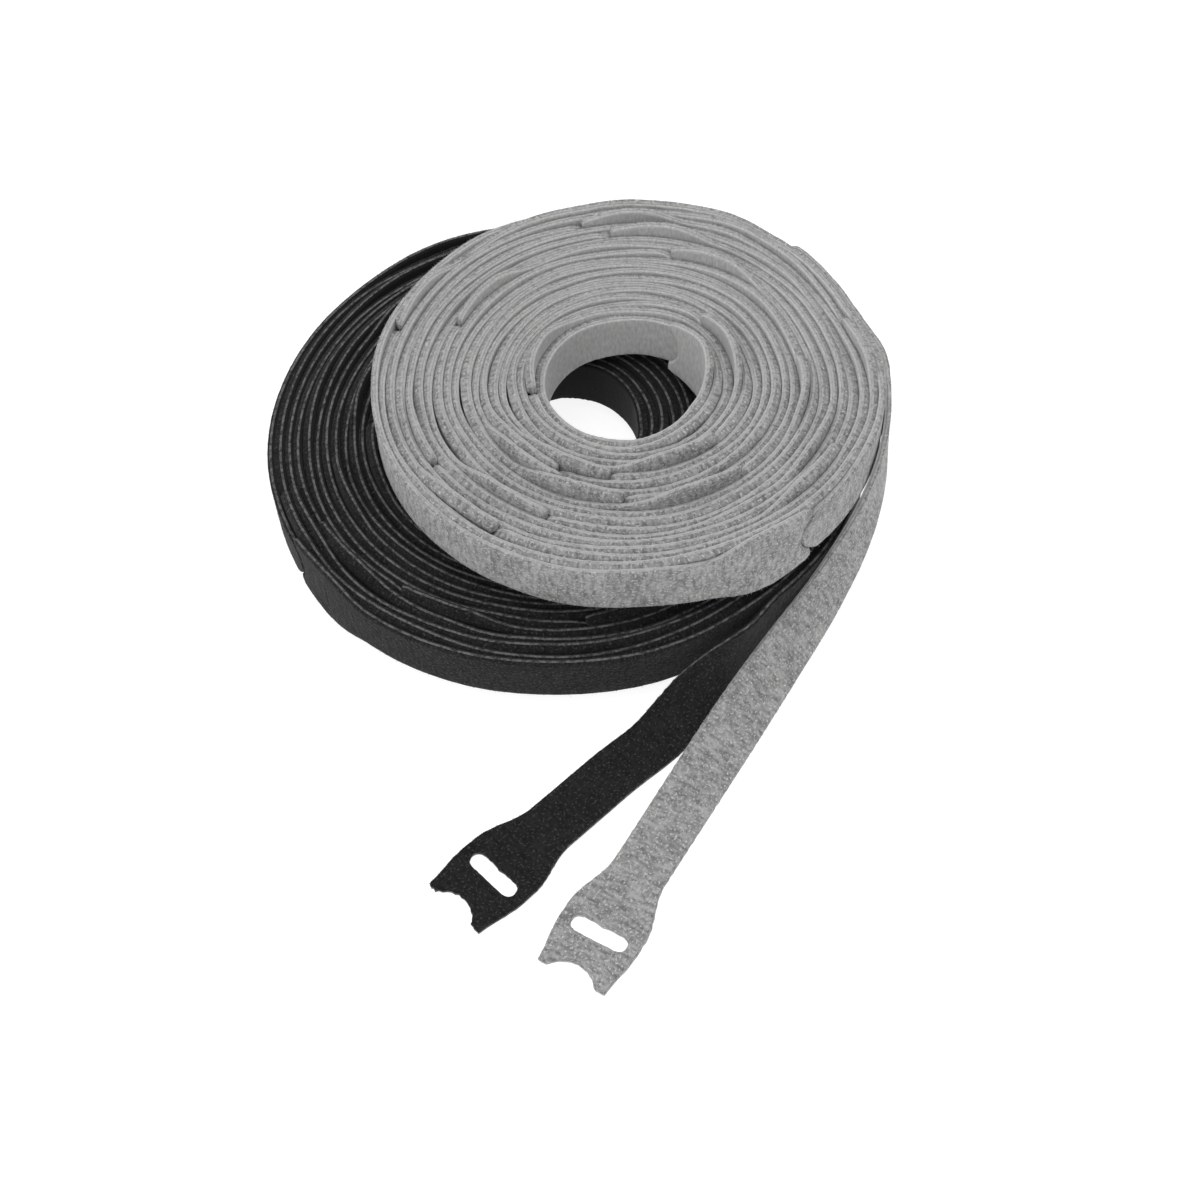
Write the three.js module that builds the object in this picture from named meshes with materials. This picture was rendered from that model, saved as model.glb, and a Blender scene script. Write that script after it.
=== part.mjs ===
// Two coreless rolls of die-cut hook and loop cable ties, the light grey roll lying on the black one.
// Each tie is a separate solid. Its rounded tail tip nests in the notch of a neighbour's head, with the
// fine tear line between them, and the chain of ties is wound up on edge into a flat roll.
// All black ties have their lips towards the free end. So has the outermost grey tie, which sticks to its
// roll by itself, while the grey ties that are wound below it have their lips towards the core.
// A tie's slot opens when its plug is pushed out, so only the two free ties have an open slot.
// Units are millimetres, +Z is up, and the rolls stand on the plane z = 0.
import * as THREE from 'three';

// The tape and one tie
const headWidth = 19;
const bodyWidth = 12.7;
const tapeThickness = 1.5;
const tieLength = 217.8;
const lipsWidth = 16.4;
const taperLength = 11;
const headLength = 14.5;
const flareLength = 14;
const slotFromEnd = 11.5;
const slotLength = 13.4;
const slotWidth = 3.8;
const tearGap = 0.3;
const tearHalfAngle = THREE.MathUtils.degToRad(58);

// The rolls
const coreRadius = 18.5;
const stackGap = 0.3;

const greyRoll = {
  name: 'grey',
  tieCount: 23,
  lipsTowardsCore: true,
  tailSpace: 58.7,
  swell: 1.8,
  windingGap: 0.6906,
  centreX: 16.1,
  centreY: -3.8,
  level: headWidth + stackGap,
  leaveAzimuth: THREE.MathUtils.degToRad(-1.9),
  freeRun: 160,
  settleStart: 0,
  sinkRun: 57.4,
  twistRun: 132,
  turnIn: -0.635,
  turnInRun: 43.7,
  bow: 0.092,
  bowRun: 140,
  material: { color: 0xa3a3a1, roughness: 0.95, metalness: 0 },
};

const blackRoll = {
  name: 'black',
  tieCount: 33,
  lipsTowardsCore: false,
  tailSpace: 0,
  swell: 0,
  windingGap: 0.7606,
  centreX: 0,
  centreY: -0.4,
  level: 0,
  leaveAzimuth: THREE.MathUtils.degToRad(-46.9),
  freeRun: 105,
  settleStart: 12,
  sinkRun: 38,
  twistRun: 37,
  turnIn: 0,
  turnInRun: 44,
  bow: -0.032,
  bowRun: 140,
  material: { color: 0x242424, roughness: 0.95, metalness: 0 },
};

// How finely curves are cut into flats
const bendsPerTurn = 20;
const freeBends = 20;
const runDivisions = 600;
const coarseArcParts = 2;
const fineArcParts = 6;
const coarseTaperParts = 2;
const fineTaperParts = 6;
const coarseFlareParts = 2;
const fineFlareParts = 8;
const gapSamplesPerBend = 3;
const weldShare = 0.004;

// Values worked out from the sizes above
const fullTurn = 2 * Math.PI;
const bendAngle = fullTurn / bendsPerTurn;
const tipRadius = bodyWidth / 2;
const notchRadius = tipRadius + tearGap;
const notchDepth = notchRadius * (1 - Math.cos(tearHalfAngle));
const tieStep = tieLength - notchDepth + tearGap;
const weldDistance = headLength * weldShare;

function smooth(share) {
  const x = THREE.MathUtils.clamp(share, 0, 1);
  return x * x * (3 - 2 * x);
}

// The free stretch of tape leaves the roll on edge. It sinks until its lower edge slides on the floor,
// and twists by a quarter turn, so that its loop face lies upwards at the head.
function makeFreeRun(roll, leaveRadius) {
  const half = bodyWidth / 2;
  const edgeLift = roll.level + (headWidth - bodyWidth) / 2;
  const step = roll.freeRun / runDivisions;
  const point = new THREE.Vector3(
    roll.centreX + leaveRadius * Math.cos(roll.leaveAzimuth),
    roll.centreY + leaveRadius * Math.sin(roll.leaveAzimuth),
    0,
  );
  const samples = [];
  let length = 0;
  for (let i = 0; i <= runDivisions; i += 1) {
    const run = i * step;
    const settled = run - roll.settleStart;
    const twist = (Math.PI / 2) * smooth(settled / roll.twistRun);
    const lift = edgeLift * (1 - smooth(settled / roll.sinkRun));
    point.z = lift + half * Math.cos(twist) + (tapeThickness / 2) * Math.sin(twist);
    if (i > 0) length += point.distanceTo(samples[i - 1].point);
    samples.push({ point: point.clone(), twist, length });
    const heading = roll.leaveAzimuth - Math.PI / 2
      + roll.turnIn * smooth(run / roll.turnInRun) + roll.bow * smooth(run / roll.bowRun);
    point.x += step * Math.cos(heading);
    point.y += step * Math.sin(heading);
  }
  samples.forEach((sample, i) => {
    const before = samples[Math.max(i - 1, 0)].point;
    const after = samples[Math.min(i + 1, runDivisions)].point;
    const along = after.clone().sub(before).normalize();
    const up = new THREE.Vector3(0, 0, 1).addScaledVector(along, -along.z).normalize();
    const outward = up.clone().cross(along);
    sample.across = up.clone().multiplyScalar(Math.cos(sample.twist))
      .addScaledVector(outward, -Math.sin(sample.twist));
    sample.normal = outward.clone().multiplyScalar(Math.cos(sample.twist))
      .addScaledVector(up, Math.sin(sample.twist));
  });
  return samples;
}

// A place on the free run, at a length of tape from where it leaves the roll
function placeOnFreeRun(samples, length, across, side) {
  const last = samples.length - 1;
  let high = samples.findIndex((sample) => sample.length >= length);
  if (high < 0) high = last;
  high = Math.max(high, 1);
  const a = samples[high - 1];
  const b = samples[high];
  const share = (length - a.length) / (b.length - a.length);
  return a.point.clone().lerp(b.point, share)
    .addScaledVector(a.across.clone().lerp(b.across, share).normalize(), across)
    .addScaledVector(a.normal.clone().lerp(b.normal, share).normalize(), side);
}

// The place of a tie's lips. A chain place is a length of tape, counted from the free end's lips.
function lipsPlace(roll, index) {
  if (index === 0 || !roll.lipsTowardsCore) return index * tieStep;
  return 2 * tieLength + roll.tailSpace + (index - 1) * tieStep;
}

// The whole chain's path: a spiral from the core out to where the tape leaves, then the free run
function makeChainPath(roll) {
  const pitch = tapeThickness + roll.windingGap;
  const firstRadius = coreRadius + tapeThickness / 2;
  const lastLips = lipsPlace(roll, roll.tieCount - 1);
  const chainLength = roll.lipsTowardsCore ? lastLips : lastLips + tieLength;
  const middle = roll.level + headWidth / 2;

  // The free run starts at the last turn, and the length of that turn depends on the free run's length,
  // so the leaving radius is settled in a few rounds.
  let leaveRadius = firstRadius;
  let woundAngle = 0;
  let freeSamples = [];
  let freeLength = 0;
  for (let round = 0; round < 6; round += 1) {
    freeSamples = makeFreeRun(roll, leaveRadius);
    freeLength = freeSamples[runDivisions].length;
    const wound = chainLength - freeLength;
    leaveRadius = Math.sqrt(firstRadius ** 2 + (pitch * wound) / Math.PI);
    woundAngle = ((leaveRadius - firstRadius) / pitch) * fullTurn;
  }

  // The winding angle, from where the tape leaves and inwards, after a length of wound tape
  const inwardAngle = (length) => {
    const fall = pitch / fullTurn;
    return (leaveRadius - Math.sqrt(leaveRadius ** 2 - 2 * fall * length)) / fall;
  };
  const radiusAt = (inward) => leaveRadius - (pitch * inward) / fullTurn;
  const lengthAt = (inward) => leaveRadius * inward - (pitch * inward ** 2) / (2 * fullTurn);

  // Between two tail tips the outermost turn has an empty space, and the next turn swells out into it
  const spaceStart = inwardAngle(tieLength - freeLength);
  const spaceEnd = inwardAngle(tieLength + roll.tailSpace - freeLength);
  const isSpace = (inward) => inward > spaceStart && inward < spaceEnd;
  const swellAt = (inward) => {
    const outside = inward - fullTurn;
    if (!isSpace(outside)) return 0;
    return roll.swell * Math.sin((Math.PI * (outside - spaceStart)) / (spaceEnd - spaceStart)) ** 2;
  };
  const corner = (index, across, side) => {
    const inward = index * bendAngle;
    const radius = radiusAt(inward) + swellAt(inward) + side;
    const azimuth = roll.leaveAzimuth + inward;
    return new THREE.Vector3(
      roll.centreX + radius * Math.cos(azimuth),
      roll.centreY + radius * Math.sin(azimuth),
      middle + across,
    );
  };
  const place = (chainPlace, across, side) => {
    const wound = chainPlace - freeLength;
    if (wound < 0) return placeOnFreeRun(freeSamples, -wound, across, side);
    const inward = inwardAngle(wound);
    const index = Math.floor(inward / bendAngle);
    const share = inward / bendAngle - index;
    return corner(index, across, side).lerp(corner(index + 1, across, side), share);
  };

  const bends = [];
  for (let i = 0; i <= freeBends; i += 1) bends.push((freeLength * i) / freeBends);
  for (let i = 1; i * bendAngle < woundAngle; i += 1) bends.push(freeLength + lengthAt(i * bendAngle));
  return { place, bends, leaveRadius, woundAngle, freeLength, chainLength, corner, isSpace };
}

// The outline of a tie, as the stretches of tape across it at a distance from its lips.
// The outline is read just before or just after that distance, so that slot and notch may end bluntly.
// A punched tie has its slot open.
function halfWidthAt(x) {
  const tipCentre = tieLength - tipRadius;
  if (x < taperLength) {
    const rise = (1 - Math.cos((Math.PI * x) / taperLength)) / 2;
    return THREE.MathUtils.lerp(lipsWidth, headWidth, rise) / 2;
  }
  if (x <= headLength) return headWidth / 2;
  if (x >= tipCentre) return Math.sqrt(Math.max(tipRadius ** 2 - (x - tipCentre) ** 2, 0));
  const flared = THREE.MathUtils.clamp((x - headLength) / flareLength, 0, 1);
  const drop = (1 - Math.cos(Math.PI * flared)) / 2;
  return THREE.MathUtils.lerp(headWidth, bodyWidth, drop) / 2;
}

function openingAt(x, after, punched) {
  const probe = after ? weldDistance / 2 : -weldDistance / 2;
  if (x + probe < notchDepth) {
    const fromCentre = Math.min(x + notchRadius * Math.cos(tearHalfAngle), notchRadius);
    return Math.sqrt(notchRadius ** 2 - fromCentre ** 2);
  }
  const fromSlot = Math.abs(x - slotFromEnd);
  if (punched && Math.abs(x + probe - slotFromEnd) < slotWidth / 2) {
    const roundEnd = Math.sqrt(Math.max((slotWidth / 2) ** 2 - fromSlot ** 2, 0));
    return slotLength / 2 - slotWidth / 2 + roundEnd;
  }
  return -1;
}

function stretchesAt(x, after, punched) {
  const half = halfWidthAt(x);
  const opening = openingAt(x, after, punched);
  if (opening < 0) return [[-half, half]];
  return [[-half, -opening], [opening, half]];
}

// Distances from the lips at which the outline of a tie has a corner
function outlineStations(punched) {
  const arcParts = punched ? fineArcParts : coarseArcParts;
  const stations = [0, headLength, tieLength];
  const taperParts = punched ? fineTaperParts : coarseTaperParts;
  for (let i = 1; i <= taperParts; i += 1) stations.push((taperLength * i) / taperParts);
  for (let i = 0; i < arcParts; i += 1) {
    const angle = (tearHalfAngle * i) / arcParts;
    stations.push(notchRadius * (Math.cos(angle) - Math.cos(tearHalfAngle)));
    stations.push(tieLength - tipRadius * (1 - Math.cos(angle)));
    const slotAngle = (Math.PI * i) / arcParts;
    if (punched) stations.push(slotFromEnd - (slotWidth / 2) * Math.cos(slotAngle));
  }
  if (punched) stations.push(slotFromEnd + slotWidth / 2);
  stations.push(notchDepth);
  stations.push(tieLength - tipRadius * (1 - Math.cos(tearHalfAngle)));
  stations.push(tieLength - tipRadius);
  const flareParts = punched ? fineFlareParts : coarseFlareParts;
  for (let i = 1; i <= flareParts; i += 1) stations.push(headLength + (flareLength * i) / flareParts);
  return stations;
}

// All stations of one tie: its outline's corners, and the places where the tape bends between flats.
// The direction is 1 where the tie runs inwards from its lips, and -1 where it runs outwards.
function tieStations(path, lips, direction, punched) {
  const sorted = outlineStations(punched).sort((a, b) => a - b);
  const kept = sorted.filter((x, i) => i === 0 || x - sorted[i - 1] > weldDistance);
  const bends = path.bends.map((bend) => direction * (bend - lips))
    .filter((x) => x > 0 && x < tieLength);
  const clear = bends.filter((x) => kept.every((station) => Math.abs(station - x) > weldDistance));
  return kept.concat(clear).sort((a, b) => a - b);
}

// One tie as a closed solid. Its flat pattern is cut into slabs at the stations, each slab's outline is
// triangulated for the loop face and the hook face, and every edge that only one slab has gets a wall.
function makeTie(path, lips, direction, punched) {
  const stations = tieStations(path, lips, direction, punched);
  const places = [];
  const lookup = new Map();
  const outlines = [];

  const vertex = (x, across) => {
    const key = `${Math.round(x / weldDistance)}_${Math.round(across / weldDistance)}`;
    if (!lookup.has(key)) {
      lookup.set(key, places.length);
      places.push([x, across]);
    }
    return lookup.get(key);
  };
  const between = (values, low, high) => values.filter(
    (value) => value > low + weldDistance && value < high - weldDistance,
  );

  for (let i = 0; i + 1 < stations.length; i += 1) {
    const [near, far] = [stations[i], stations[i + 1]];
    const nearSide = stretchesAt(near, true, punched);
    const farSide = stretchesAt(far, false, punched);
    const nearNeighbour = i > 0 ? stretchesAt(near, false, punched).flat() : [];
    const farNeighbour = i + 2 < stations.length ? stretchesAt(far, true, punched).flat() : [];
    nearSide.forEach(([nearLow, nearHigh], piece) => {
      const [farLow, farHigh] = farSide[piece];
      const farExtra = between(farNeighbour, farLow, farHigh).sort((a, b) => a - b);
      const nearExtra = between(nearNeighbour, nearLow, nearHigh).sort((a, b) => b - a);
      const ring = [
        vertex(near, nearLow),
        vertex(far, farLow),
        ...farExtra.map((across) => vertex(far, across)),
        vertex(far, farHigh),
        vertex(near, nearHigh),
        ...nearExtra.map((across) => vertex(near, across)),
      ];
      const outline = ring.filter((v, n) => v !== ring[(n + ring.length - 1) % ring.length]);
      if (outline.length > 2) outlines.push(outline);
    });
  }

  const positions = [];
  places.forEach(([x, across]) => {
    const at = (side) => path.place(lips + direction * x, direction * across, side).toArray();
    positions.push(...at(tapeThickness / 2), ...at(-tapeThickness / 2));
  });
  const loopFace = (v) => 2 * v;
  const hookFace = (v) => 2 * v + 1;
  const indices = [];
  const edges = new Set();
  outlines.forEach((outline) => {
    const flat = outline.map((v) => new THREE.Vector2(...places[v]));
    THREE.ShapeUtils.triangulateShape(flat, []).forEach(([a, b, c]) => {
      indices.push(loopFace(outline[a]), loopFace(outline[b]), loopFace(outline[c]));
      indices.push(hookFace(outline[c]), hookFace(outline[b]), hookFace(outline[a]));
    });
    outline.forEach((v, n) => edges.add(`${v}_${outline[(n + 1) % outline.length]}`));
  });
  edges.forEach((edge) => {
    const [a, b] = edge.split('_').map(Number);
    if (edges.has(`${b}_${a}`)) return;
    indices.push(hookFace(a), hookFace(b), loopFace(b));
    indices.push(hookFace(a), loopFace(b), loopFace(a));
  });

  const geometry = new THREE.BufferGeometry();
  geometry.setAttribute('position', new THREE.Float32BufferAttribute(positions, 3));
  geometry.setIndex(indices);
  geometry.computeVertexNormals();
  return geometry;
}

// The least gap between one turn and the next, measured on points along the tape's inner face
function leastGap(path) {
  const points = [];
  const count = Math.floor(path.woundAngle / bendAngle) * gapSamplesPerBend;
  for (let i = 0; i < count; i += 1) {
    const index = Math.floor(i / gapSamplesPerBend);
    const share = (i % gapSamplesPerBend) / gapSamplesPerBend;
    const at = (side) => path.corner(index, 0, side).lerp(path.corner(index + 1, 0, side), share);
    points.push({ inner: at(-tapeThickness / 2), outer: at(tapeThickness / 2) });
  }
  const turn = bendsPerTurn * gapSamplesPerBend;
  const segment = new THREE.Line3();
  const nearest = new THREE.Vector3();
  let least = Infinity;
  for (let i = 0; i < points.length; i += 1) {
    if (path.isSpace((i * bendAngle) / gapSamplesPerBend)) continue;
    const from = i + turn - gapSamplesPerBend;
    for (let j = from; j < from + 2 * gapSamplesPerBend && j + 1 < points.length; j += 1) {
      segment.set(points[j].outer, points[j + 1].outer);
      segment.closestPointToPoint(points[i].inner, true, nearest);
      least = Math.min(least, nearest.distanceTo(points[i].inner));
    }
  }
  return least;
}

function lipsAzimuth(roll, path) {
  const lips = path.place(lipsPlace(roll, 1), 0, 0);
  return THREE.MathUtils.radToDeg(Math.atan2(lips.y - roll.centreY, lips.x - roll.centreX));
}

function buildRoll(roll) {
  const path = makeChainPath(roll);
  const group = new THREE.Group();
  for (let i = 0; i < roll.tieCount; i += 1) {
    const direction = i > 0 && roll.lipsTowardsCore ? -1 : 1;
    const mesh = new THREE.Mesh(
      makeTie(path, lipsPlace(roll, i), direction, i === 0),
      new THREE.MeshStandardMaterial(roll.material),
    );
    mesh.name = `${roll.name}_tie_${String(i + 1).padStart(2, '0')}`;
    group.add(mesh);
  }
  const hinge = path.place(tieLength, 0, tapeThickness / 2);
  const turns = path.woundAngle / fullTurn;
  const coreAzimuth = THREE.MathUtils.radToDeg(roll.leaveAzimuth + path.woundAngle) % 360;
  console.log(
    `${roll.name} roll: ${turns.toFixed(2)} turns, outer radius`
    + ` ${(path.leaveRadius + tapeThickness / 2).toFixed(2)} mm, core end at ${coreAzimuth.toFixed(1)} degrees,`
    + ` tape ${path.chainLength.toFixed(0)} mm, free ${path.freeLength.toFixed(1)} mm,`
    + ` least gap between turns ${leastGap(path).toFixed(3)} mm,`
    + ` second lips at ${((lipsAzimuth(roll, path) + 360) % 360).toFixed(1)} degrees,`
    + ` free tie's tail tip at ${hinge.toArray().map((v) => v.toFixed(3)).join(', ')}`,
  );
  return group;
}

const tapeRolls = new THREE.Group();
tapeRolls.add(buildRoll(blackRoll));
tapeRolls.add(buildRoll(greyRoll));

// The origin goes to the middle of the outer box, on the plane that the black roll stands on
const box = new THREE.Box3().setFromObject(tapeRolls);
const middle = box.getCenter(new THREE.Vector3());
tapeRolls.position.set(-middle.x, -middle.y, -box.min.z);

export default tapeRolls;
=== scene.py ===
# %% [markdown]
# # Two rolls of die-cut hook and loop ties
# The object is a light grey roll of cable ties lying on a black one. Each tie is cut out of back-to-back
# tape: a web with a loop pile on its outer side and small moulded hooks on its inner side. This lesson
# builds every tie as a numpy surface that follows one long path, and gives it a knitted, fuzzy finish.

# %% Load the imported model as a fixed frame
import math

import bpy
import numpy as np
from mathutils import Matrix, Vector


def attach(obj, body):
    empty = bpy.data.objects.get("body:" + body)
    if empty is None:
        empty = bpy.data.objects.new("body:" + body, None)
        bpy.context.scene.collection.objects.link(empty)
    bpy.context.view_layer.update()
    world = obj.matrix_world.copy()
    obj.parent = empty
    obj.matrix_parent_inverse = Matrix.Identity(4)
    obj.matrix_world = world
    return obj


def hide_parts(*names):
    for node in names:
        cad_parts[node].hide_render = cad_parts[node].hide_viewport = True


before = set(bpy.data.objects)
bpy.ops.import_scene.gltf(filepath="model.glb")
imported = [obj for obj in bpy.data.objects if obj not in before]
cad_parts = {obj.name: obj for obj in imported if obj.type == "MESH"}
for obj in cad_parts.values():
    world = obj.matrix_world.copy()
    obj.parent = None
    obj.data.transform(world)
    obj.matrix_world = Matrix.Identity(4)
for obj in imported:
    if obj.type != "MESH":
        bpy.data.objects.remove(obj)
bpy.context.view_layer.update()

# %% [markdown]
# ## The sizes of one tie
# A tie is a 19 mm head with a slot, an S-shaped flare, a 12.7 mm strap and a rounded tail. The tail of
# one tie nests in the notch of a neighbour's head, with the tear line between them. All black ties have
# their lips towards the free end. The wound grey ties have theirs towards the core, and one more tie
# sticks to the roll the other way round. Blender works in metres, so each size is written in
# millimetres and scaled once.

# %% Sizes of a tie and of the wound rolls
MM = 0.001
HEAD_WIDTH = 19.0 * MM
STRAP_WIDTH = 12.7 * MM
TAPE_THICKNESS = 1.5 * MM
TIE_LENGTH = 217.8 * MM
LIPS_WIDTH = 16.4 * MM
TAPER_LENGTH = 11.0 * MM
HEAD_LENGTH = 14.5 * MM
FLARE_LENGTH = 14.0 * MM
SLOT_FROM_END = 11.5 * MM
SLOT_LENGTH = 13.4 * MM
SLOT_WIDTH = 3.8 * MM
TEAR_GAP = 0.3 * MM
TEAR_HALF_ANGLE = math.radians(58)
CORE_RADIUS = 18.5 * MM
STACK_GAP = 0.3 * MM

TIP_RADIUS = STRAP_WIDTH / 2
NOTCH_RADIUS = TIP_RADIUS + TEAR_GAP
NOTCH_DEPTH = NOTCH_RADIUS * (1 - math.cos(TEAR_HALF_ANGLE))
TIE_STEP = TIE_LENGTH - NOTCH_DEPTH + TEAR_GAP

# Where the middle of the black roll lies in the part's frame
BLACK_MIDDLE = np.array([-2.911278, 36.663004]) * MM

# What differs between the rolls. An outline is a list of azimuths in degrees and of how far, in mm, the
# turns stand outside an even spiral there, at the rim or at the core. A rise is a list of shares of the
# way from core to rim and of how far, in mm, the straps stand above the heads' middle there.
ROLLS = {
    "black": {
        "ties": 33, "lips_in": False, "tail_space": 0.0, "swell": 0.0,
        "gap": 0.7606 * MM, "middle": BLACK_MIDDLE, "level": 0.0,
        "leave": math.radians(-46.9), "free_run": 105 * MM, "settle_start": 12 * MM,
        "sink_run": 38 * MM, "twist_run": 37 * MM, "drift": 1.3 * MM,
        "turn_in": 0.0, "turn_in_run": 44 * MM, "bow": -0.032, "bow_run": 140 * MM,
        "core_lift": 0.0, "rise": [(0.0, -0.4), (1.0, 0.3)], "seed": 11,
        "outline": [(0, 0.0), (105, 0.0), (140, -0.1), (170, 0.1), (200, 0.3), (230, 0.7), (250, 1.0),
                    (285, 1.0), (305, 0.2), (360, 0.0)],
        "core_outline": [(0, -2.4), (30, -1.8), (60, -0.5), (80, 0.0), (280, 0.0), (310, -1.0),
                         (335, -2.2), (360, -2.4)],
    },
    "grey": {
        "ties": 23, "lips_in": True, "tail_space": 58.7 * MM, "swell": 1.8 * MM,
        "gap": 0.6906 * MM, "middle": BLACK_MIDDLE + np.array([16.1, -3.4]) * MM,
        "level": HEAD_WIDTH + STACK_GAP,
        "leave": math.radians(-1.9), "free_run": 160 * MM, "settle_start": 0.0,
        "sink_run": 57.4 * MM, "twist_run": 132 * MM, "drift": 0.0,
        "turn_in": -0.635, "turn_in_run": 43.7 * MM, "bow": 0.092, "bow_run": 140 * MM,
        "core_lift": 0.9 * MM, "rise": [(0.0, -1.2), (0.6, 0.0), (1.0, 1.3)], "seed": 23,
        "outline": [(0, 0.0), (10, -2.0), (20, -2.8), (30, -2.3), (38, -1.4), (47, -0.6), (56, 0.0),
                    (66, 0.2), (90, -0.3), (150, 0.0), (180, 0.3), (200, 0.5), (240, -0.3), (265, -0.2),
                    (290, 0.0), (312, 0.3), (330, 0.7), (342, 1.4), (350, 1.3), (357, 0.4), (360, 0.0)],
        "core_outline": [(0, -0.8), (20, 0.0), (270, 0.0), (300, -1.0), (325, -1.6), (345, -1.3),
                         (360, -0.8)],
    },
}
print("one tie takes", round(TIE_STEP / MM, 2), "mm of tape")

# %% [markdown]
# ## The free end of a roll
# On the real rolls the loose end stands on edge where it leaves, sinks to the floor and twists by a
# quarter turn until its loop side lies upwards. A hand-drawn curve would need many control points. A few
# smooth steps along the run give the same shape, and every point also gets its across and outward
# directions, so the tape can't pinch or flip.

# %% The free run of tape
RUN_DIVISIONS = 600
DRIFT_START = 2 * MM  # along the run, where the drift aside begins
DRIFT_RISE = 14 * MM
DRIFT_FALL = 24 * MM
DRIFT_END = 60 * MM


def smooth(share):
    """A soft step: x times x times (3 - 2x), with x held between 0 and 1."""
    x = np.clip(share, 0.0, 1.0)
    return x * x * (3.0 - 2.0 * x)


def unit(vectors):
    """Each vector divided by its length."""
    return vectors / np.linalg.norm(vectors, axis=-1, keepdims=True)


def turned(up, outward, angle):
    """The across and outward directions, turned together by an angle about the tape's run."""
    cos, sin = np.cos(angle)[:, None], np.sin(angle)[:, None]
    return {"across": up * cos - outward * sin, "outward": outward * cos + up * sin}


def free_run(roll, leave_radius):
    """The middle line is the running sum of short steps along a heading. The heading starts at the
    roll's tangent and turns by two smooth steps. Near the roll the line also drifts aside and back. The
    height is the lift of the tape's lower edge, which fades to nothing, plus half the width times the
    cosine of the twist, plus half the thickness times its sine."""
    run = np.linspace(0.0, roll["free_run"], RUN_DIVISIONS + 1)
    step = run[1]
    heading = (roll["leave"] - math.pi / 2 + roll["turn_in"] * smooth(run / roll["turn_in_run"])
               + roll["bow"] * smooth(run / roll["bow_run"]))
    forward = step * np.stack([np.cos(heading), np.sin(heading)], axis=1)
    start = roll["middle"] + leave_radius * np.array([math.cos(roll["leave"]), math.sin(roll["leave"])])
    flat = start + np.concatenate([np.zeros((1, 2)), np.cumsum(forward[:-1], axis=0)])
    drift = roll["drift"] * smooth((run - DRIFT_START) / DRIFT_RISE)
    drift = drift * smooth((DRIFT_END - run) / DRIFT_FALL)
    flat += (drift / step)[:, None] * np.stack([-forward[:, 1], forward[:, 0]], axis=1)
    settled = run - roll["settle_start"]
    twist = math.pi / 2 * smooth(settled / roll["twist_run"])
    lift = (roll["level"] + (HEAD_WIDTH - STRAP_WIDTH) / 2) * (1 - smooth(settled / roll["sink_run"]))
    height = lift + STRAP_WIDTH / 2 * np.cos(twist) + TAPE_THICKNESS / 2 * np.sin(twist)
    point = np.column_stack([flat, height])
    order = np.arange(RUN_DIVISIONS + 1)
    along = unit(point[np.minimum(order + 1, RUN_DIVISIONS)] - point[np.maximum(order - 1, 0)])
    up = unit(np.array([0.0, 0.0, 1.0]) - along * along[:, 2:])
    outward = np.cross(up, along)
    length = np.concatenate([[0.0], np.cumsum(np.linalg.norm(np.diff(point, axis=0), axis=1))])
    return {"point": point, "length": length, **turned(up, outward, twist)}


# %% [markdown]
# ## The whole chain of ties as one path
# The tape between the free end and the core is a spiral whose radius falls by one pitch a turn. A perfect
# spiral looks like a machined part. On the real rolls some turns touch and others stand apart, and the
# straps, which are narrower than the heads, wander up and down. Random steps would push turns through
# each other. So each turn first gets slow waves of its own, and then every pair of neighbours that is
# too close is moved apart, again and again, as a tight roll does by itself.

# %% Where ties lie along the tape
TABLE_STEP = 0.5 * MM
AROUND = 720  # places in one turn where neighbours are compared
CLOSEST = TAPE_THICKNESS + 0.04 * MM

GROOVE_REACH = 4.2 * MM

# Grooves between two turns: azimuth in degrees where one begins and ends, radius and opening in mm
GROOVES = {
    "black": [(196, 222, 68.6, 0.7), (214, 242, 65.3, 1.2), (243, 264, 64.2, 1.4), (284, 306, 66.4, 0.5)],
    "grey": [(188, 226, 45.6, 1.5), (165, 220, 28.6, 0.8), (283, 316, 49.4, 0.7), (98, 128, 36.5, 0.7),
             (222, 246, 57.4, 0.7), (20, 60, 51.0, 0.5), (60, 110, 47.0, 0.5)],
}


def lips_place(roll, number):
    """A tie's place is the length of tape from the free end's lips to its own lips."""
    if number == 1 or not roll["lips_in"]:
        return (number - 1) * TIE_STEP
    return 2 * TIE_LENGTH + roll["tail_space"] + (number - 2) * TIE_STEP


def from_lips(roll, place):
    """The distance from the lips of the tie that covers each place."""
    if roll["lips_in"]:
        wound = np.mod(lips_place(roll, 2) - place, TIE_STEP)
        return np.where(place < TIE_LENGTH, place, wound)
    return np.mod(place, TIE_STEP)


def grooves(roll, colour, pitch, leave_radius, azimuth, radius):
    """Along a groove the turns inside it move inwards and those outside move outwards. The move is a
    squared cosine of the way along the groove, times an exponential of the distance from it. A turn's
    radius is taken at the groove's middle azimuth, so a turn never changes sides."""
    out = np.zeros_like(azimuth)
    for low, high, at, opening in GROOVES[colour]:
        middle, half = math.radians((low + high) / 2), math.radians((high - low) / 2)
        offset = np.mod(azimuth - middle + math.pi, 2 * math.pi) - math.pi
        level = radius + pitch * offset / (2 * math.pi)
        first = leave_radius - pitch * np.mod(middle - roll["leave"], 2 * math.pi) / (2 * math.pi)
        between = first - pitch * (math.floor((first - at * MM) / pitch) + 0.5)
        window = np.where(np.abs(offset) < half, np.cos(math.pi * offset / (2 * half)) ** 2, 0.0)
        away = level - between
        out += np.sign(away) * window * opening / 2 * MM * np.exp(-np.abs(away) / GROOVE_REACH)
    return out


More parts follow.
